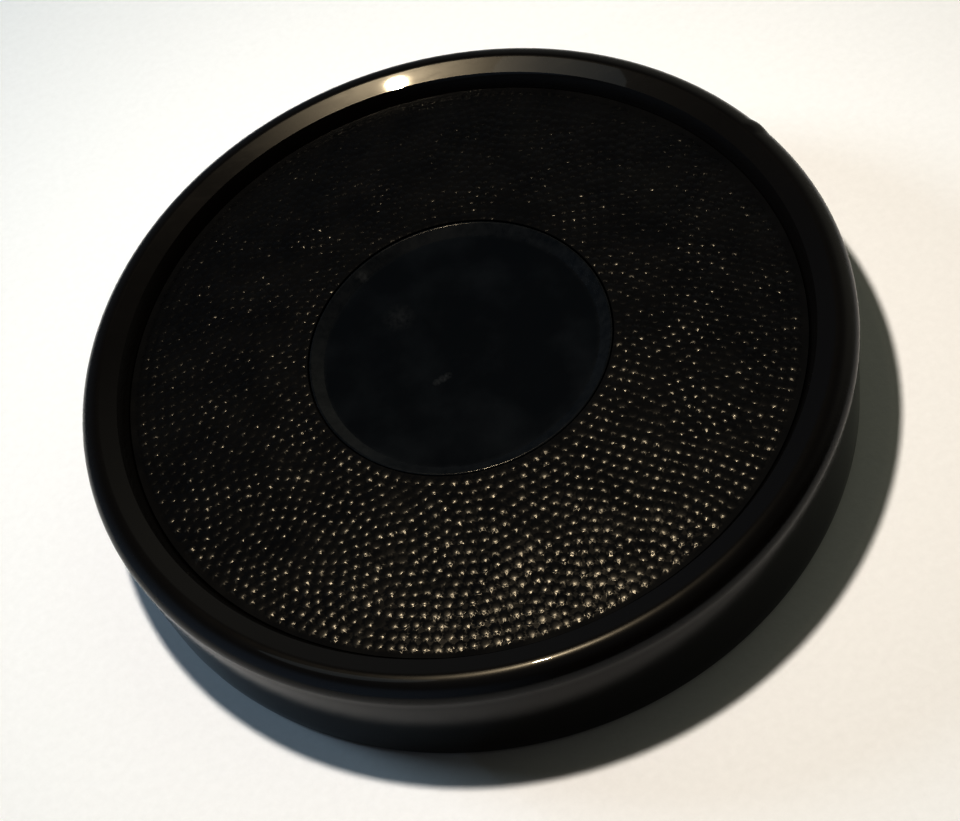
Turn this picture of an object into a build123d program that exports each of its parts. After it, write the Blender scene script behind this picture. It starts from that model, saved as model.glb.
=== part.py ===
"""Round slip-on cap: a moulded shell with a raised rim, a grained ring and a dished centre disc
set into its face, and a felt lining and pad inside.

The origin is at the centre of the skirt's open edge. +Z runs up the cap's axis and out of its
grained face. All sizes are in millimetres, and angles in degrees. A turned piece is drawn in
the XZ plane as (radius, height) and revolved about the cap's axis.
"""

import os

from build123d import *

os.makedirs("parts", exist_ok=True)

# ---------------------------------------------------------------- driving dimensions
outer_radius = 26.0        # outside of the skirt
cap_height = 9.0           # from the skirt's open edge to the crest of the rim
bore_radius = 24.0         # the barrel that the cap is pushed onto
wall = 1.3                 # thickness of the skirt
ceiling_level = 5.1        # inside of the top plate, above the open edge
glue_film = 0.05           # between a glued piece and the wall beside it

# Rim round the face
edge_round = 1.3           # outer top edge, from the skirt to the crest
crest_round = 0.6          # from the crest to the slope behind it
rim_slope = 26.5           # fall of the rim towards the face
rim_width = 1.3            # from the crest to the foot of the slope
recess_lean = 0.5          # how far the recess wall leans in on its way down
slope_foot_round = 0.15    # where the slope meets the recess wall
open_edge_round = 0.35     # the skirt's lower edge, outside and inside
ceiling_fillet = 0.4       # inside corner between the skirt and the top plate

# Ring and centre disc
face_level = 7.35          # top of the grained ring
ring_thickness = 0.75
disc_radius = 10.3
disc_thickness = 1.4       # at its edge
border_width = 0.9         # sloping border of the disc
border_drop = 0.57
dish_depth = 0.15          # further hollow between the border and the centre
face_edge_round = 0.1      # top edges of the ring and of the disc

# Felt pieces
lining_bottom = 0.8        # above the open edge
lining_top = 4.4
pad_radius = 23.2
pad_thickness = 0.5
felt_edge_round = 0.15

# ---------------------------------------------------------------- derived dimensions
crest_radius = outer_radius - edge_round
slope_foot_radius = crest_radius - rim_width
recess_radius = slope_foot_radius - recess_lean
ring_seat_level = face_level - ring_thickness
disc_seat_level = face_level - disc_thickness
disc_seat_radius = disc_radius + glue_film
inner_wall_radius = outer_radius - wall
dish_edge_radius = disc_radius - border_width
dish_edge_level = face_level - border_drop
dish_floor_level = dish_edge_level - dish_depth
dish_arc_radius = (dish_edge_radius**2 + dish_depth**2) / (2 * dish_depth)


def round_edges(piece, radius, level):
    """Return the piece's circular edges that have this radius and lie at this height."""
    tolerance = 0.001
    circles = piece.edges().filter_by(GeomType.CIRCLE)
    same_radius = circles.filter_by(lambda edge: abs(edge.radius - radius) < tolerance)
    return same_radius.filter_by(lambda edge: abs(edge.arc_center.Z - level) < tolerance)


# ---------------------------------------------------------------- cap shell
with BuildPart() as cap_shell:
    with BuildSketch(Plane.XZ):
        with BuildLine():
            skirt = Line((outer_radius, 0), (outer_radius, cap_height - edge_round))
            top_edge = JernArc(skirt @ 1, skirt % 1, edge_round, 90)
            crest = JernArc(top_edge @ 1, top_edge % 1, crest_round, rim_slope)
            slope = PolarLine(
                crest @ 1,
                length=(crest @ 1).X - slope_foot_radius,
                direction=crest % 1,
                length_mode=LengthMode.HORIZONTAL,
            )
            Polyline(
                slope @ 1,
                (recess_radius, face_level),
                (recess_radius, ring_seat_level),
                (disc_seat_radius, ring_seat_level),
                (disc_seat_radius, disc_seat_level),
                (0, disc_seat_level),
                (0, ceiling_level),
                (inner_wall_radius, ceiling_level),
                (inner_wall_radius, 0),
                (outer_radius, 0),
            )
        make_face()
    revolve(axis=Axis.Z)
    fillet(round_edges(cap_shell, slope_foot_radius, (slope @ 1).Y), slope_foot_round)
    fillet(round_edges(cap_shell, inner_wall_radius, ceiling_level), ceiling_fillet)
    fillet(round_edges(cap_shell, inner_wall_radius, 0), open_edge_round)
    fillet(round_edges(cap_shell, outer_radius, 0), open_edge_round)

cap_shell.part.label = "cap_shell"
export_step(cap_shell.part, "parts/cap_shell.step")

# ---------------------------------------------------------------- grained ring
with BuildPart() as grip_ring:
    with BuildSketch(Plane.XY.offset(ring_seat_level)):
        Circle(recess_radius - glue_film)
        Circle(disc_seat_radius + glue_film, mode=Mode.SUBTRACT)
    extrude(amount=ring_thickness)
    fillet(grip_ring.faces().sort_by(Axis.Z)[-1].edges(), face_edge_round)

grip_ring.part.label = "grip_ring"
export_step(grip_ring.part, "parts/grip_ring.step")

# ---------------------------------------------------------------- centre disc
with BuildPart() as centre_disc:
    with BuildSketch(Plane.XZ):
        with BuildLine():
            Polyline(
                (0, dish_floor_level),
                (0, disc_seat_level),
                (disc_radius, disc_seat_level),
                (disc_radius, face_level),
                (dish_edge_radius, dish_edge_level),
            )
            RadiusArc(
                (dish_edge_radius, dish_edge_level),
                (0, dish_floor_level),
                dish_arc_radius,
            )
        make_face()
    revolve(axis=Axis.Z)
    fillet(round_edges(centre_disc, disc_radius, face_level), face_edge_round)

centre_disc.part.label = "centre_disc"
export_step(centre_disc.part, "parts/centre_disc.step")

# ---------------------------------------------------------------- skirt lining
with BuildPart() as skirt_lining:
    with BuildSketch(Plane.XY.offset(lining_bottom)):
        Circle(inner_wall_radius - glue_film)
        Circle(bore_radius, mode=Mode.SUBTRACT)
    extrude(amount=lining_top - lining_bottom)
    fillet(round_edges(skirt_lining, bore_radius, lining_bottom), felt_edge_round)
    fillet(round_edges(skirt_lining, bore_radius, lining_top), felt_edge_round)

skirt_lining.part.label = "skirt_lining"
export_step(skirt_lining.part, "parts/skirt_lining.step")

# ---------------------------------------------------------------- lens pad
with BuildPart() as lens_pad:
    with BuildSketch(Plane.XY.offset(ceiling_level - pad_thickness)):
        Circle(pad_radius)
    extrude(amount=pad_thickness)
    fillet(round_edges(lens_pad, pad_radius, ceiling_level - pad_thickness), felt_edge_round)

lens_pad.part.label = "lens_pad"
export_step(lens_pad.part, "parts/lens_pad.step")
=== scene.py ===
"""The looks of a round black slip-on cap: materials, grain, felt, paper, light and camera.

Everything is in metres in the CAD model's frame: the origin is at the centre of the skirt's open
edge and +Z points out of the cap's grained face. The camera stands on the -Y side, above it.
"""
import math

import bpy
import numpy as np
from mathutils import Matrix, Vector, kdtree
from mathutils.geometry import delaunay_2d_cdt


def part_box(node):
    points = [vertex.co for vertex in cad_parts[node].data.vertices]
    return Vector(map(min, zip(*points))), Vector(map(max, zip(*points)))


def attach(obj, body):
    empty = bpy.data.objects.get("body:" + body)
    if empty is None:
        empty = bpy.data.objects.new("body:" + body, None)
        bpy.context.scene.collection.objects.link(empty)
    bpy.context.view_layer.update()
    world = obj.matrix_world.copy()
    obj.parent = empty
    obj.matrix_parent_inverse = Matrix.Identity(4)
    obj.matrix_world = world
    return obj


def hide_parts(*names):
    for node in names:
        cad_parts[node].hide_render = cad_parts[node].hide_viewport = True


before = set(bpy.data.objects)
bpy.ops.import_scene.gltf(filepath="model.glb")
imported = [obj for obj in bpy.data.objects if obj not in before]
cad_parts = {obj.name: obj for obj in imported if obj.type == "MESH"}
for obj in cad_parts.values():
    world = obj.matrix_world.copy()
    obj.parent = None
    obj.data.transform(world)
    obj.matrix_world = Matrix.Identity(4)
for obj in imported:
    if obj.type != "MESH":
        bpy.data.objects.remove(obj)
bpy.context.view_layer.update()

MM = 0.001
tiny = 1e-9                        # allows for rounding where two sizes should be equal
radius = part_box("cap_shell")[1].x

# ---------------------------------------------------------------- camera
view_elevation = math.radians(54.74)
view_distance = 4.324 * radius
view_roll = math.radians(-19.5)
aim_point = Vector((-0.0068, -0.0299, 0.0)) * radius
lens_mm = 60.0
sensor_mm = 36.0
nearest_seen = 0.005
farthest_seen = 20.0


def make_camera():
    data = bpy.data.cameras.new("camera")
    data.lens = lens_mm
    data.sensor_width = sensor_mm
    data.clip_start = nearest_seen
    data.clip_end = farthest_seen
    camera = bpy.data.objects.new("camera", data)
    bpy.context.scene.collection.objects.link(camera)
    back = Vector((0.0, -math.cos(view_elevation), math.sin(view_elevation)))
    camera.location = back * view_distance
    level = (aim_point - camera.location).to_track_quat("-Z", "Y").to_matrix()
    camera.rotation_mode = "QUATERNION"
    camera.rotation_quaternion = (level @ Matrix.Rotation(view_roll, 3, "Z")).to_quaternion()
    bpy.context.scene.camera = camera


make_camera()


# ---------------------------------------------------------------- node helpers
def add_node(tree, kind, inputs=(), **settings):
    """A new node. Each input is filled with a plain value, or linked if it is a socket."""
    node = tree.nodes.new(kind)
    for key, value in settings.items():
        setattr(node, key, value)
    for key, value in dict(inputs).items():
        if isinstance(value, bpy.types.NodeSocket):
            tree.links.new(value, node.inputs[key])
        else:
            node.inputs[key].default_value = value
    return node


def mix_colours(tree, factor, first, second):
    """A colour between two others. Each is a socket or a plain (red, green, blue)."""
    node = add_node(tree, "ShaderNodeMix", {"Factor": factor}, data_type="RGBA")
    sockets = [socket for socket in node.inputs if socket.type == "RGBA"]
    for socket, value in zip(sockets, (first, second)):
        if isinstance(value, bpy.types.NodeSocket):
            tree.links.new(value, socket)
        else:
            socket.default_value = (*value, 1.0)
    return [socket for socket in node.outputs if socket.type == "RGBA"][0]


class Look:
    """A material and short ways to write its nodes. A pattern's grain is in millimetres."""

    def __init__(self, name):
        self.material = bpy.data.materials.new(name)
        self.material.use_nodes = True
        self.tree = self.material.node_tree
        self.shader = self.tree.nodes["Principled BSDF"]
        self.place = self.add("ShaderNodeTexCoord").outputs["Object"]

    def add(self, kind, inputs=(), **settings):
        return add_node(self.tree, kind, inputs, **settings)

    def noise(self, grain_mm, detail=3.0, roughness=0.5, place=None):
        """Random values of 0 to 1, in patches about one grain across."""
        inputs = {"Vector": place or self.place, "Scale": 1.0 / (grain_mm * MM),
                  "Detail": detail, "Roughness": roughness}
        return self.add("ShaderNodeTexNoise", inputs).outputs["Fac"]

    def stretch(self, factors, turn=0.0):
        """The object's coordinates, scaled along each axis and then turned about Z."""
        inputs = {"Vector": self.place, "Rotation": (0.0, 0.0, turn), "Scale": factors}
        return self.add("ShaderNodeMapping", inputs).outputs["Vector"]

    def ramp(self, value, low, high, to_low=0.0, to_high=1.0):
        """A value carried over from one range to another, and held at its ends."""
        inputs = {"Value": value, "From Min": low, "From Max": high,
                  "To Min": to_low, "To Max": to_high}
        return self.add("ShaderNodeMapRange", inputs).outputs["Result"]

    def combine(self, first, second, operation="ADD"):
        inputs = {0: first, 1: second}
        return self.add("ShaderNodeMath", inputs, operation=operation).outputs[0]

    def near(self, centre, reach, softness=0.6):
        """1 close to a place, and 0 from the reach outwards. Both are in metres."""
        inputs = {0: self.place, 1: Vector(centre)}
        gap = self.add("ShaderNodeVectorMath", inputs, operation="DISTANCE").outputs["Value"]
        return self.ramp(gap, reach * (1.0 - softness), reach, 1.0, 0.0)

    def blend(self, factor, first, second):
        return mix_colours(self.tree, factor, first, second)

    def bump(self, height, depth_mm, under=None):
        """A normal from a pattern of heights, laid over another normal if there is one."""
        inputs = {"Height": height, "Strength": 1.0, "Distance": depth_mm * MM}
        if under:
            inputs["Normal"] = under
        return self.add("ShaderNodeBump", inputs).outputs["Normal"]

    def finish(self, **inputs):
        """Fill the shader's sockets. An underscore in a name stands for a space."""
        for key, value in inputs.items():
            socket = self.shader.inputs[key.replace("_", " ")]
            if isinstance(value, bpy.types.NodeSocket):
                self.tree.links.new(value, socket)
            else:
                socket.default_value = value
        return self.material


# ---------------------------------------------------------------- materials
def shell_look():
    """Moulded black plastic: hazy under a thin polish on the rim, clearer but bare on the skirt."""
    look = Look("shell_plastic")
    clean, dusty = (0.0036, 0.0028, 0.0023), (0.012, 0.011, 0.010)
    dust = look.ramp(look.noise(0.25, 5.0, 0.7), 0.66, 0.8)
    wipes = look.noise(0.5, 4.0, 0.6, look.stretch((0.2, 1.0, 1.0), 0.6))
    height = look.add("ShaderNodeSeparateXYZ", {"Vector": look.place}).outputs["Z"]
    haze = look.ramp(look.noise(6.0), 0.3, 0.7, 0.25, 0.31)
    haze_here = look.ramp(height, 6.9 * MM, 7.9 * MM, 0.45, 1.0)
    haze = look.combine(haze, haze_here, "MULTIPLY")
    gloss = look.combine(haze, look.ramp(wipes, 0.5, 0.8, 0.0, 0.04))
    polish = look.ramp(height, 7.2 * MM, 8.2 * MM, 0.0, 0.4)
    skin = look.bump(look.noise(1.6), 0.0008)
    return look.finish(Base_Color=look.blend(dust, clean, dusty), Roughness=gloss, IOR=1.5,
                       Specular_IOR_Level=0.12, Coat_Weight=polish, Coat_Roughness=0.03,
                       Coat_IOR=1.5, Normal=skin, Coat_Normal=skin)


def grain_look():
    """The same plastic on the pebbles, with duller and shinier areas."""
    look = Look("grained_plastic")
    dark, worn = (0.0022, 0.0022, 0.0025), (0.005, 0.0046, 0.0043)
    wear = look.ramp(look.noise(3.0), 0.35, 0.7)
    gloss = look.ramp(look.noise(1.3, 4.0), 0.3, 0.7, 0.23, 0.29)
    skin = look.bump(look.noise(0.25), 0.002)
    return look.finish(Base_Color=look.blend(wear, dark, worn), Roughness=gloss, IOR=1.5,
                       Specular_IOR_Level=0.165, Normal=skin)


def disc_look():
    """Smooth blue-black plastic: smears, a few marks, and dust on its sloping border."""
    look = Look("disc_plastic")
    clean, smeared = (0.0024, 0.0034, 0.0045), (0.0062, 0.0080, 0.0096)
    dusty, marked = (0.012, 0.013, 0.0135), (0.026, 0.027, 0.027)
    cloud = look.noise(4.0, 4.0)
    colour = look.blend(look.ramp(cloud, 0.45, 0.75), clean, smeared)

    dish = look.near(Vector((0.0, 0.0, 7.1)) * MM, 9.55 * MM, 0.04)
    border = look.ramp(dish, 0.0, 1.0, 1.0, 0.0)
    dust = look.ramp(look.noise(0.8, 5.0, 0.7), 0.35, 0.75)
    colour = look.blend(look.combine(border, dust, "MULTIPLY"), colour, dusty)

    thumb_mark = look.near(Vector((-3.3, 4.1, 6.7)) * MM, 1.3 * MM, 0.9)
    chip = look.near(Vector((-4.8, 8.45, 7.0)) * MM, 0.55 * MM)
    streak_middle = Vector((-1.8, -2.0, 6.65)) * MM
    streak = look.near(streak_middle, 0.35 * MM)
    for step in (Vector((-0.45, -0.12, 0.0)), Vector((0.4, 0.1, 0.0))):
        end = look.near(streak_middle + step * MM, 0.32 * MM)
        streak = look.combine(streak, end, "MAXIMUM")
    marks = look.combine(look.combine(thumb_mark, 0.55, "MULTIPLY"), look.combine(streak, chip))
    breaks = look.ramp(look.noise(0.3, 4.0), 0.25, 0.65)
    colour = look.blend(look.combine(marks, breaks, "MULTIPLY"), colour, marked)

    gloss = look.ramp(cloud, 0.3, 0.75, 0.16, 0.24)
    skin = look.bump(look.noise(2.0), 0.002)
    return look.finish(Base_Color=colour, Roughness=gloss, IOR=1.5, Specular_IOR_Level=0.2,
                       Normal=skin)


def felt_look():
    """Short black felt: matted fibres with a lighter bloom."""
    look = Look("felt")
    dark, bloomed = (0.008, 0.008, 0.010), (0.045, 0.045, 0.05)
    mat = look.noise(0.35, 8.0, 0.75)
    fibres = look.noise(0.12, 4.0, 0.6, look.stretch((1.0, 0.2, 0.5), 0.9))
    colour = look.blend(look.ramp(mat, 0.3, 0.7), dark, bloomed)
    skin = look.bump(fibres, 0.08, look.bump(mat, 0.2))
    return look.finish(Base_Color=colour, Roughness=0.95, Sheen_Weight=0.35,
                       Sheen_Roughness=0.5, Normal=skin)


def paper_look():
    """Plain matt paper that thins out to nothing far from the object."""
    look = Look("paper")
    thin, thick = (0.85, 0.84, 0.82), (0.88, 0.87, 0.85)
    full_until, gone_at = 0.07, 0.16
    fibres = look.noise(0.6, 5.0, 0.7)
    colour = look.blend(look.ramp(fibres, 0.3, 0.7), thin, thick)
    solid = look.near((0.0, 0.0, 0.0), gone_at, 1.0 - full_until / gone_at)
    return look.finish(Base_Color=colour, Roughness=0.9, Alpha=solid,
                       Specular_IOR_Level=0.2, Normal=look.bump(fibres, 0.02))


shell_plastic = shell_look()
grained_plastic = grain_look()
disc_plastic = disc_look()
felt = felt_look()


# ---------------------------------------------------------------- mesh helpers
def make_piece(name, points, faces, material, slot=None):
    """A smooth mesh. With a slot it rides on the object's one body."""
    mesh = bpy.data.meshes.new(name)
    mesh.from_pydata([tuple(p) for p in points], [], [tuple(f) for f in faces])
    mesh.polygons.foreach_set("use_smooth", [True] * len(mesh.polygons))
    mesh.update()
    piece = bpy.data.objects.new(name, mesh)
    bpy.context.scene.collection.objects.link(piece)
    piece.data.materials.append(material)
    if slot:
        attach(piece, "root")
    return piece


def soft_noise(rng, x, y, wavelength, waves=24):
    """Smooth random values of about -1 to 1 with a given wavelength."""
    total = np.zeros_like(x)
    for _ in range(waves):
        heading = rng.uniform(0.0, math.tau)
        stretch = rng.uniform(0.6, 1.6)
        phase = rng.uniform(0.0, math.tau)
        along = x * math.cos(heading) + y * math.sin(heading)
        total += np.sin(math.tau * along * stretch / wavelength + phase)
    return total / math.sqrt(waves)


def ring_of(x, y, size, count, start=0.0):
    """Points evenly round a circle."""
    turn = start + math.tau * np.arange(count) / count
    return [(x + size * math.cos(t), y + size * math.sin(t)) for t in turn]


def arc(centre, size, start, end, pieces):
    """Points along an arc of a section. Angles are in degrees, anticlockwise from outwards."""
    turns = np.radians(np.linspace(start, end, pieces + 1))
    return [(centre[0] + size * math.cos(t), centre[1] + size * math.sin(t)) for t in turns]


def tube_faces(rows, around):
    """Faces between rows of points that each go round in a loop, and a cap at each end."""
    faces = []
    for row in range(rows - 1):
        for spot in range(around):
            after = (spot + 1) % around
            faces.append((row * around + spot, row * around + after,
                          (row + 1) * around + after, (row + 1) * around + spot))
    faces.append(tuple(reversed(range(around))))
    faces.append(tuple(range((rows - 1) * around, rows * around)))
    return faces


def lathe(section, turn):
    """Points and faces of a section turned about the axis, closed at both ends of the section."""
    section = np.array(section)
    x = section[:, :1] * np.cos(turn)[None, :]
    y = section[:, :1] * np.sin(turn)[None, :]
    z = np.repeat(section[:, 1:], len(turn), 1)
    points = np.stack([x, y, z], 2).reshape(-1, 3)
    return points, tube_faces(len(section), len(turn))


# ---------------------------------------------------------------- pebble grain
grain_pitch = 0.767 * MM
grain_start = 10.45 * MM
grain_end = 22.42 * MM
ground_depth = 0.055 * MM          # the ground between the pebbles, below the top of the ring
margin_slope = 0.12                # the bare margin's rise towards the recess wall
pebble_size = 0.30 * MM            # radius of one pebble's foot
pebble_slope = math.radians(15.8)  # its flank, where it meets the ground
size_spread = 0.07                 # how much pebbles differ, as a share of their size
slope_spread = 0.2                 # and of their slope, by patches and again at random
lean_spread = 0.028                # slope of a pebble's tilt
disc_gap = 0.1 * MM                # between the ring and the disc
patch_length = 5.0 * MM            # from one patch of steeper pebbles to the next
swell_length = 6.0 * MM            # shallow waves that run under the whole grain
swell_height = 0.003 * MM
swell_count = 16
rim_steps = 640                    # points round each edge of the ring
margin_steps = 400                 # points round the middle of the bare margin
ring_turn = 0.4                    # from one ring of points on a pebble to the next, in radians
pebble_rings = ((0.45, 6), (0.75, 9), (1.0, 10), (1.14, 9))  # share of its radius, points there


def pebble_centres(rng):
    """Scattered points that push each other apart until they lie in patches of even rows."""
    low = grain_start + pebble_size
    high = grain_end - pebble_size
    spare = 0.4 * grain_pitch
    area = math.pi * ((high + spare) ** 2 - (low - spare) ** 2)
    area_each = 0.866 * grain_pitch**2  # in rows of equilateral triangles
    count = round(area / area_each)
    away = np.sqrt(rng.uniform(low**2, high**2, count))
    turn = rng.uniform(0.0, math.tau, count)
    points = np.stack([away * np.cos(turn), away * np.sin(turn)], 1)

    neighbour_reach = 2.2 * grain_pitch
    push_reach = 1.35 * grain_pitch
    push_strength = 0.3
    searches, pushes = 20, 10
    for _ in range(searches):
        gaps = ((points[:, None] - points[None, :]) ** 2).sum(2)
        first, second = np.nonzero(np.triu(gaps < neighbour_reach**2, 1))
        for _ in range(pushes):
            gap = points[first] - points[second]
            distance = np.hypot(gap[:, 0], gap[:, 1]) + tiny
            push = push_strength * np.clip(push_reach - distance, 0.0, None) / distance
            for axis in (0, 1):
                move = gap[:, axis] * push
                points[:, axis] += np.bincount(first, move, count)
                points[:, axis] -= np.bincount(second, move, count)
            away = np.hypot(points[:, 0], points[:, 1])
            points *= (np.clip(away, low, high) / away)[:, None]
    return points


class Pebbles:
    """The pebbles, each a low dome whose height falls with the cube of the way out to its foot."""

    def __init__(self, rng):
        self.centres = pebble_centres(rng)
        count = len(self.centres)
        patch = soft_noise(rng, self.centres[:, 0], self.centres[:, 1], patch_length)
        self.size = pebble_size * (1.0 + size_spread * rng.standard_normal(count))
        steepness = 1.0 + slope_spread * patch + slope_spread * rng.standard_normal(count)
        self.height = self.size * (math.tan(pebble_slope) * steepness) / 3.0
        self.lean = lean_spread * rng.standard_normal((count, 2))
        self.tree = kdtree.KDTree(count)
        for index, (x, y) in enumerate(self.centres):
            self.tree.insert((x, y, 0.0), index)
        self.tree.balance()

    def surface(self, x, y):
        """Rise above the ground at a place, and the slopes there along X and Y.

        Where two pebbles overlap, the higher one counts.
        """
        on_foot = 1.001  # takes in the points that lie on the edge of the foot
        rise, slope_x, slope_y = 0.0, 0.0, 0.0
        for _, index, gap in self.tree.find_n((x, y, 0.0), 2):
            size, height = self.size[index], self.height[index]
            share = gap / size
            lift = height * (1.0 - share**3)
            if share < on_foot and lift >= rise - tiny:
                across = (x - self.centres[index, 0], y - self.centres[index, 1])
                lean_x, lean_y = self.lean[index]
                rise = lift + (across[0] * lean_x + across[1] * lean_y) * (1.0 - share)
                fall = -3.0 * height * gap / size**3
                slope_x = across[0] * fall + lean_x
                slope_y = across[1] * fall + lean_y
        return rise, slope_x, slope_y


def face_spots(pebbles, inner, outer, rng):
    """Points of the ring's face: round its outer edge, its inner edge, its margin and pebbles."""
    spots = ring_of(0.0, 0.0, outer, rim_steps) + ring_of(0.0, 0.0, inner, rim_steps)
    spots += ring_of(0.0, 0.0, 0.5 * (grain_end + outer), margin_steps)
    for (x, y), size in zip(pebbles.centres, pebbles.size):
        start = rng.uniform(0.0, math.tau)
        spots.append((x, y))
        for share, around in pebble_rings:
            start += ring_turn
            spots += ring_of(x, y, share * size, around, start)
    return [spot for spot in spots if inner - tiny <= math.hypot(*spot) <= outer + tiny]


def join_spots(spots):
    """The face's points, its triangles, and which points are on its outer and inner edge."""
    whole_hull = 0
    merge_distance = 1e-6
    outer_edge = [(step, (step + 1) % rim_steps) for step in range(rim_steps)]
    inner_edge = [(rim_steps + start, rim_steps + end) for start, end in outer_edge]
    in_mm = [Vector(spot) / MM for spot in spots]
    edges = outer_edge + inner_edge
    joined = delaunay_2d_cdt(in_mm, edges, [], whole_hull, merge_distance)
    flat, _, triangles, origin, _, _ = joined
    place = {source: here for here, sources in enumerate(origin) for source in sources}
    outer_rim = [place[step] for step in range(rim_steps)]
    inner_rim = [place[rim_steps + step] for step in range(rim_steps)]
    hole = set(inner_rim)
    triangles = [tuple(t) for t in triangles if not hole.issuperset(t)]
    return [(spot.x * MM, spot.y * MM) for spot in flat], triangles, outer_rim, inner_rim


def grain_surface(pebbles, swells, x, y):
    """Rise above the level ground at a place, and the slopes there along X and Y."""
    rise, slope_x, slope_y = pebbles.surface(x, y)
    for heading, rate, phase in swells:
        pace = math.tau * rate / swell_length
        along = pace * (x * math.cos(heading) + y * math.sin(heading)) + phase
        rise += swell_height * math.sin(along)
        slope_x += swell_height * pace * math.cos(heading) * math.cos(along)
        slope_y += swell_height * pace * math.sin(heading) * math.cos(along)
    away = math.hypot(x, y)
    if away > grain_end:
        rise += (away - grain_end) * margin_slope
        slope_x += x / away * margin_slope
        slope_y += y / away * margin_slope
    return rise, slope_x, slope_y


def make_grain():
    """The ring with its pebbles: a fan of rings on each one, and level ground between them."""
    rng = np.random.default_rng(seed=7)
    low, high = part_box("grip_ring")
    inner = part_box("centre_disc")[1].x + disc_gap
    pebbles = Pebbles(rng)
    spots = face_spots(pebbles, inner, high.x, rng)
    flat, triangles, outer_rim, inner_rim = join_spots(spots)

    swells = []
    for _ in range(swell_count):
        heading = rng.uniform(0.0, math.tau)
        rate = rng.uniform(0.7, 1.5)
        phase = rng.uniform(0.0, math.tau)
        swells.append((heading, rate, phase))
    ground = high.z - ground_depth
    points = []
    facing = []
    for x, y in flat:
        rise, slope_x, slope_y = grain_surface(pebbles, swells, x, y)
        points.append((x, y, min(ground + rise, high.z)))
        facing.append(Vector((-slope_x, -slope_y, 1.0)).normalized())

    # The ring's walls and its flat underside
    base_rims = []
    for rim in (outer_rim, inner_rim):
        base_rims.append(list(range(len(points), len(points) + rim_steps)))
        points += [(points[spot][0], points[spot][1], low.z) for spot in rim]
    base_out, base_in = base_rims
    faces = list(triangles)
    for step in range(rim_steps):
        after = (step + 1) % rim_steps
        faces.append((outer_rim[after], outer_rim[step], base_out[step], base_out[after]))
        faces.append((inner_rim[step], inner_rim[after], base_in[after], base_in[step]))
        faces.append((base_out[after], base_out[step], base_in[step], base_in[after]))
    piece = make_piece("grained_ring", points, faces, grained_plastic, "grained_plastic")

    # The face is shaded by its true slopes, and the walls stay flat
    shading = []
    for polygon in piece.data.polygons:
        on_face = polygon.loop_total == 3
        for corner in polygon.vertices:
            shading.append(facing[corner] if on_face else polygon.normal)
    piece.data.normals_split_custom_set(shading)
    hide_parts("grip_ring")


make_grain()


# ---------------------------------------------------------------- moulded shell
# Sizes of its section, in millimetres
wall = 1.3                         # thickness of the skirt
edge_round = 1.3                   # outer top edge, from the skirt to the crest
crest_round = 0.6                  # from the crest to the slope behind it
rim_fall = math.radians(26.5)      # the slope behind the crest
recess_lean = 0.5                  # the recess wall leans in by this much on its way down
foot_blend = ((-0.02, -0.045), (0.0, 0.0), (0.05, 0.025))  # points round the slope's foot
foot_row = 0.4                     # from the slope's foot to the next point up
open_round = 0.35                  # lower edge of the skirt, outside and inside
corner_round = 0.4                 # inside corner between the skirt and the top plate
glue_film = 0.05                   # round the ring and the disc
middle_gap = 0.3                   # the section ends here, and one flat face closes the middle
skirt_rows = (6.6, 5.4, 4.0, 2.6, 1.4)  # heights of the points between its rounded edges
inside_rows = (2.0, 3.6)           # and on the inside of the skirt
crest_pieces = 12                  # straight pieces in each round
edge_pieces = 26
corner_pieces = 6

# The stub of the gate, cut off nearly flush on the rounded top edge
gate_turn = math.radians(18.3)
gate_inset = 0.42                  # its middle, in from the skirt in mm
gate_drop = 0.34                   # and below the crest in mm
gate_depth = 1.5                   # below the crest in mm, where the line it grows along starts
gate_reach = 1.1 * MM
gate_height = 0.12 * MM

# Steps of the turn, finer beside the gate
even_steps = 680
fine_steps = 61
fine_half = 0.05                   # radians to each side of the gate
clear_half = 0.051                 # no even step is nearer to the gate than this
sharp_angle = math.radians(35.0)


def shell_section():
    """The shell's outline in metres: up from the seats, over the rim, and down round the skirt."""
    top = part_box("cap_shell")[1].z / MM
    wide = radius / MM
    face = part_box("grip_ring")[1].z / MM
    ring_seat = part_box("grip_ring")[0].z / MM
    disc_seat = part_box("centre_disc")[0].z / MM
    disc_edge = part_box("centre_disc")[1].x / MM + glue_film
    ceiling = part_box("lens_pad")[1].z / MM
    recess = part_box("grip_ring")[1].x / MM + glue_film
    inside = wide - wall
    crest = wide - edge_round
    slope_top = (crest - crest_round * math.sin(rim_fall),
                 top - crest_round * (1.0 - math.cos(rim_fall)))
    foot = recess + recess_lean
    foot_level = slope_top[1] - (slope_top[0] - foot) * math.tan(rim_fall)
    slope_turn = 90.0 + math.degrees(rim_fall)

    section = [(middle_gap, disc_seat), (disc_edge, disc_seat), (disc_edge, ring_seat)]
    section += [(recess, ring_seat), (recess, face)]
    section += [(foot + across, foot_level + up) for across, up in foot_blend]
    section += [(foot + foot_row, foot_level + foot_row * math.tan(rim_fall))]
    section += arc((crest, top - crest_round), crest_round, slope_turn, 90.0, crest_pieces)
    section += arc((crest, top - edge_round), edge_round, 90.0, 0.0, edge_pieces)[1:]
    section += [(wide, level) for level in skirt_rows]
    lower_out = (wide - open_round, open_round)
    section += arc(lower_out, open_round, 0.0, -90.0, corner_pieces)
    lower_in = (inside + open_round, open_round)
    section += arc(lower_in, open_round, -90.0, -180.0, corner_pieces)
    section += [(inside, level) for level in inside_rows]
    corner = (inside - corner_round, ceiling - corner_round)
    section += arc(corner, corner_round, 0.0, 90.0, corner_pieces)
    section += [(middle_gap, ceiling)]
    return np.array(section) * MM


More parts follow.
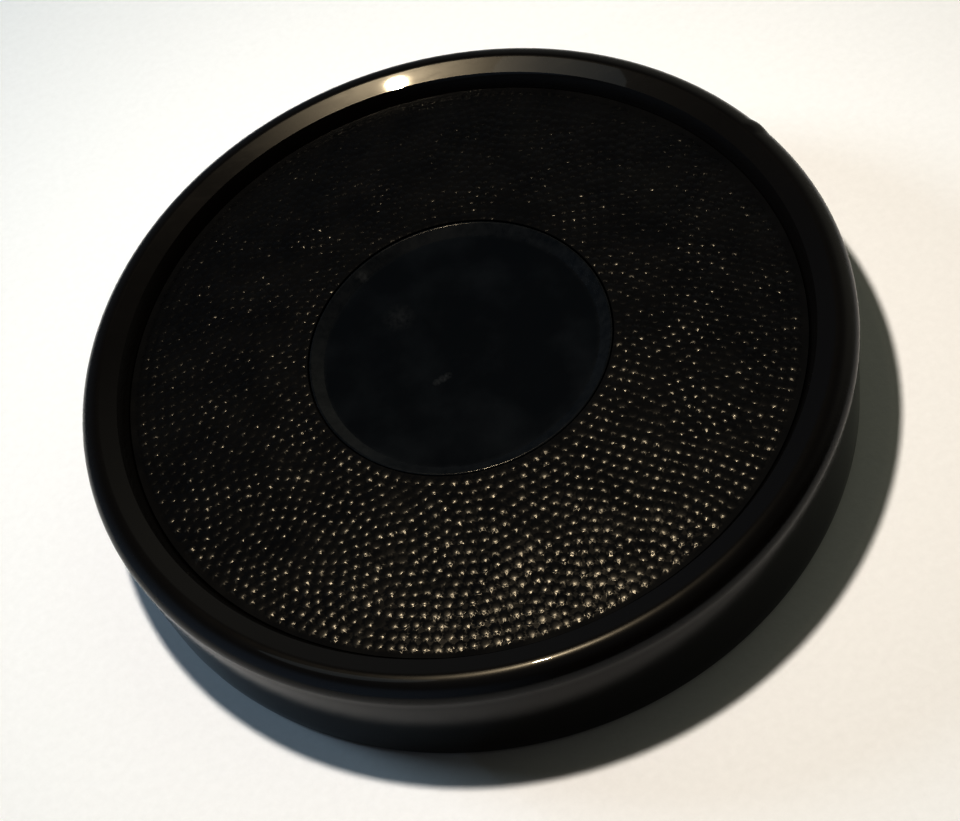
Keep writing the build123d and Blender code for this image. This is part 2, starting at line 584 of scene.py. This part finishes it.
def add_gate(points):
    """The points with the gate's low stub raised out of the rounded edge."""
    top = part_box("cap_shell")[1].z / MM
    wide = radius / MM
    gate = np.array([math.cos(gate_turn), math.sin(gate_turn), 0.0]) * (wide - gate_inset) * MM
    gate[2] = (top - gate_drop) * MM
    away = np.linalg.norm(points - gate, axis=1) / gate_reach
    lift = gate_height * np.clip(1.0 - away**2, 0.0, None) ** 2

    # At the gate this points outwards and, at a little under 45 degrees, upwards
    outward = points - np.array([0.0, 0.0, (top - gate_depth) * MM])
    outward[:, :2] *= gate_depth / wide
    outward /= np.linalg.norm(outward, axis=1)[:, None]
    points = points + outward * lift[:, None]
    points[:, 2] = np.minimum(points[:, 2], top * MM)
    return points


def make_shell():
    """The moulding: skirt, rounded top edge, raised rim and the seats of the ring and disc."""
    even = np.linspace(0.0, math.tau, even_steps, endpoint=False)
    fine = np.linspace(gate_turn - fine_half, gate_turn + fine_half, fine_steps)
    turn = np.union1d(even[np.abs(even - gate_turn) > clear_half], fine)
    points, faces = lathe(shell_section(), turn)
    points = add_gate(points)
    piece = make_piece("moulded_shell", points, faces, shell_plastic, "shell_plastic")
    piece.data.set_sharp_from_angle(angle=sharp_angle)
    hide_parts("cap_shell")


make_shell()


# ---------------------------------------------------------------- felt
def rounded_section(low, high, corner, pieces=5):
    """Points round a rectangle with rounded corners, as (across, up) pairs."""
    (left, bottom), (right, top) = low, high
    section = arc((right - corner, bottom + corner), corner, -90.0, 0.0, pieces)
    section += arc((right - corner, top - corner), corner, 0.0, 90.0, pieces)
    section += arc((left + corner, top - corner), corner, 90.0, 180.0, pieces)
    section += arc((left + corner, bottom + corner), corner, 180.0, 270.0, pieces)
    return section


def fill_in(section, spacing):
    """The same closed outline with extra points on its long sides."""
    dense = []
    for (x0, y0), (x1, y1) in zip(section, section[1:] + section[:1]):
        pieces = max(1, round(math.hypot(x1 - x0, y1 - y0) / spacing))
        for step in range(pieces):
            share = step / pieces
            dense.append((x0 + (x1 - x0) * share, y0 + (y1 - y0) * share))
    return dense


def tufts(rng, x, y, fine, coarse):
    """Uneven height of the felt's surface, about -1 to 1."""
    return 0.5 * soft_noise(rng, x, y, fine) + 0.5 * soft_noise(rng, x, y, coarse)


def make_lining():
    """A felt strip bent round the inside of the skirt, with its ends butted together."""
    rng = np.random.default_rng(seed=11)
    low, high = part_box("skirt_lining")
    inner = 24.0 * MM              # the barrel that the cap is pushed onto
    edge_round = 0.16 * MM
    spacing = 0.22 * MM
    steps = 700
    joint_turn = math.radians(-140.0)
    joint_gap = 0.12 * MM
    pile_height = 0.035 * MM
    pile_level = 0.6
    waviness = 0.05 * MM

    section = rounded_section((inner, low.z), (high.x, high.z), edge_round)
    section = np.array(fill_in(section, spacing))
    gap = joint_gap / inner
    turn = np.linspace(joint_turn + gap, joint_turn + math.tau - gap, steps)
    across = np.repeat(section[:, 0][None, :], steps, 0)
    up = np.repeat(section[:, 1][None, :], steps, 0)
    along = np.repeat((turn * inner)[:, None], len(section), 1)

    # The inner face is uneven and the glued side isn't, and the upper edge is cut in a slight wave
    facing = np.clip((high.x - across) / (high.x - inner), 0.0, 1.0)
    pile = tufts(rng, along, up, fine=0.5 * MM, coarse=1.3 * MM)
    across = across + facing * pile_height * (pile + pile_level)
    wave = waviness * soft_noise(rng, along, np.zeros_like(up), wavelength=9.0 * MM)
    up = up + wave * (up > 0.5 * (low.z + high.z))
    points = np.stack([across * np.cos(turn)[:, None], across * np.sin(turn)[:, None], up], 2)
    faces = tube_faces(steps, len(section))
    piece = make_piece("felt_lining", points.reshape(-1, 3), faces, felt, "felt")
    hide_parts("skirt_lining")


def make_pad():
    """A die-cut felt disc that lies against the cap's ceiling."""
    rng = np.random.default_rng(seed=12)
    low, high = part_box("lens_pad")
    outer = high.x
    middle_gap = 0.3 * MM
    edge_round = 0.14 * MM
    top_bevel = 0.02 * MM
    steps = 480
    rings = 64
    pile_height = 0.03 * MM
    pile_level = 1.0

    section = [(spot, low.z) for spot in np.linspace(middle_gap, outer - edge_round, rings)]
    section += arc((outer - edge_round, low.z + edge_round), edge_round, -90.0, 0.0, 4)[1:]
    section += [(outer, high.z - top_bevel), (outer - top_bevel, high.z), (middle_gap, high.z)]
    points, faces = lathe(section, np.linspace(0.0, math.tau, steps, endpoint=False))

    # The lower face is uneven, and the glued side isn't
    x, y, z = points.T
    facing = np.clip((high.z - z) / (high.z - low.z), 0.0, 1.0)
    pile = tufts(rng, x, y, fine=0.7 * MM, coarse=2.0 * MM)
    points[:, 2] = z + facing * pile_height * (pile + pile_level)
    piece = make_piece("felt_pad", points, faces, felt, "felt")
    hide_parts("lens_pad")


make_lining()
make_pad()


# ---------------------------------------------------------------- carried-over CAD node
disc_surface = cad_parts["centre_disc"].data
disc_surface.materials.clear()
disc_surface.materials.append(disc_plastic)


# ---------------------------------------------------------------- paper, light and air
def make_paper():
    """A flat sheet, just below the skirt's lower edge."""
    steps = 96
    rings = (0.01, 0.03, 0.06, 0.1, 0.2, 0.4)
    drop = 0.02 * MM
    points = [(0.0, 0.0, 0.0)]
    for ring in rings:
        points += [(x, y, 0.0) for x, y in ring_of(0.0, 0.0, ring, steps)]
    faces = [(0, 1 + step, 1 + (step + 1) % steps) for step in range(steps)]
    for ring in range(len(rings) - 1):
        base = 1 + ring * steps
        for step in range(steps):
            after = (step + 1) % steps
            faces.append((base + step, base + steps + step, base + steps + after, base + after))
    floor = make_piece("paper", points, faces, paper_look())
    floor.location.z = -drop


def make_light(name, place, width, power, colour, aim=(0.0, 0.0, 0.0), in_shine=True,
               in_shade=True):
    """A round lamp. It may be kept out of what shines (in_shine) or of matt light (in_shade)."""
    data = bpy.data.lights.new(name, "AREA")
    data.shape = "DISK"
    data.size = width
    data.energy = power
    data.color = colour
    light = bpy.data.objects.new(name, data)
    bpy.context.scene.collection.objects.link(light)
    light.location = place
    light.rotation_mode = "QUATERNION"
    light.rotation_quaternion = (Vector(aim) - Vector(place)).to_track_quat("-Z", "Y")
    light.visible_camera = False
    light.visible_glossy = in_shine
    light.visible_diffuse = in_shade


# The room that shines in the plastic. Each patch has its direction, the two dot products of a ray
# with it between which the patch fades in, and its colour. It lies over the patches before it.
# The person is whoever holds the camera, and is dark.
room_colour = (0.34, 0.35, 0.32)
far_wall = ((-0.4, 0.9, 0.1), 0.0, 0.9, (0.17, 0.20, 0.24))
right_wall = ((0.9, 0.2, 0.3), 0.1, 0.9, (0.68, 0.66, 0.56))
person = ((0.0, -1.0, 0.0), -0.35, 0.45, (0.02, 0.017, 0.015))
left_window = ((-0.9, -0.38, 0.2), 0.4, 1.0, (0.45, 0.62, 0.85))
ceiling = ((0.0, 0.0, 1.0), 0.47, 0.85, (0.075, 0.076, 0.075))
ceiling_glow = ((-0.2, -0.25, 0.95), 0.82, 1.0, (0.17, 0.18, 0.19))
room_patches = (far_wall, right_wall, person, left_window, ceiling, ceiling_glow)

# A darker room that lights matt surfaces instead, such as the paper in the shadow
dim_side = (0.026, 0.021, 0.019)
bright_side = ((0.85, 0.4, 0.3), 0.3, 1.0, (0.51, 0.54, 0.45))

# What the camera sees past the paper
backdrop_colour = (1.0, 0.99, 0.93, 1.0)


def make_world():
    """The room, the light for matt surfaces and the backdrop, each for its own kind of ray."""
    world = bpy.data.worlds.new("air")
    bpy.context.scene.world = world
    world.use_nodes = True
    tree = world.node_tree
    heading = add_node(tree, "ShaderNodeTexCoord").outputs["Generated"]
    ray = add_node(tree, "ShaderNodeLightPath").outputs

    def lay(patch, under):
        """A patch over a colour. The share follows how far the ray points along its direction."""
        direction, begins, full, colour = patch
        inputs = {0: heading, 1: direction}
        along = add_node(tree, "ShaderNodeVectorMath", inputs, operation="DOT_PRODUCT")
        inputs = {"Value": along.outputs["Value"], "From Min": begins, "From Max": full}
        share = add_node(tree, "ShaderNodeMapRange", inputs, interpolation_type="SMOOTHSTEP")
        return mix_colours(tree, share.outputs["Result"], under, colour)

    room_light = room_colour
    for patch in room_patches:
        room_light = lay(patch, room_light)
    matt_light = lay(bright_side, dim_side)
    room = tree.nodes["Background"]
    light = mix_colours(tree, ray["Is Diffuse Ray"], room_light, matt_light)
    tree.links.new(light, room.inputs["Color"])
    backdrop = add_node(tree, "ShaderNodeBackground", {"Color": backdrop_colour})
    inputs = {0: ray["Is Camera Ray"], 1: room.outputs[0], 2: backdrop.outputs[0]}
    air = add_node(tree, "ShaderNodeMixShader", inputs)
    tree.links.new(air.outputs[0], tree.nodes["World Output"].inputs["Surface"])


make_paper()

# One lamp gives the shadows and a second one the highlights, because the shadow and the hot spot
# on the rim point about 4 degrees apart. The first is aimed past the cap, which lights the paper
# more evenly. One window shows only in the plastic's shine, and the side window only lights matt
# surfaces, with the bluish light in the shadow at its side.
make_light("lamp", Vector((-0.46, 0.47, 5.0)) * radius, 9.0 * MM, 0.213, (0.935, 0.88, 0.83),
           aim=Vector((2.0, -1.04, 0.0)) * radius, in_shine=False)
make_light("lamp_glint", Vector((-0.22, 0.355, 5.74)) * radius, 3.0 * MM, 0.28, (1.0, 0.84, 0.60),
           in_shade=False)
make_light("window", Vector((-0.11, 0.012, 0.279)), 0.10, 0.033, (0.80, 0.93, 1.0),
           in_shade=False)
make_light("side_window", Vector((-0.21, 0.135, 0.135)), 0.09, 0.32, (0.59, 0.8, 1.0),
           in_shine=False)
make_world()
view = bpy.context.scene.view_settings
view.view_transform = "Standard"
view.exposure = 0.0
view.gamma = 0.72
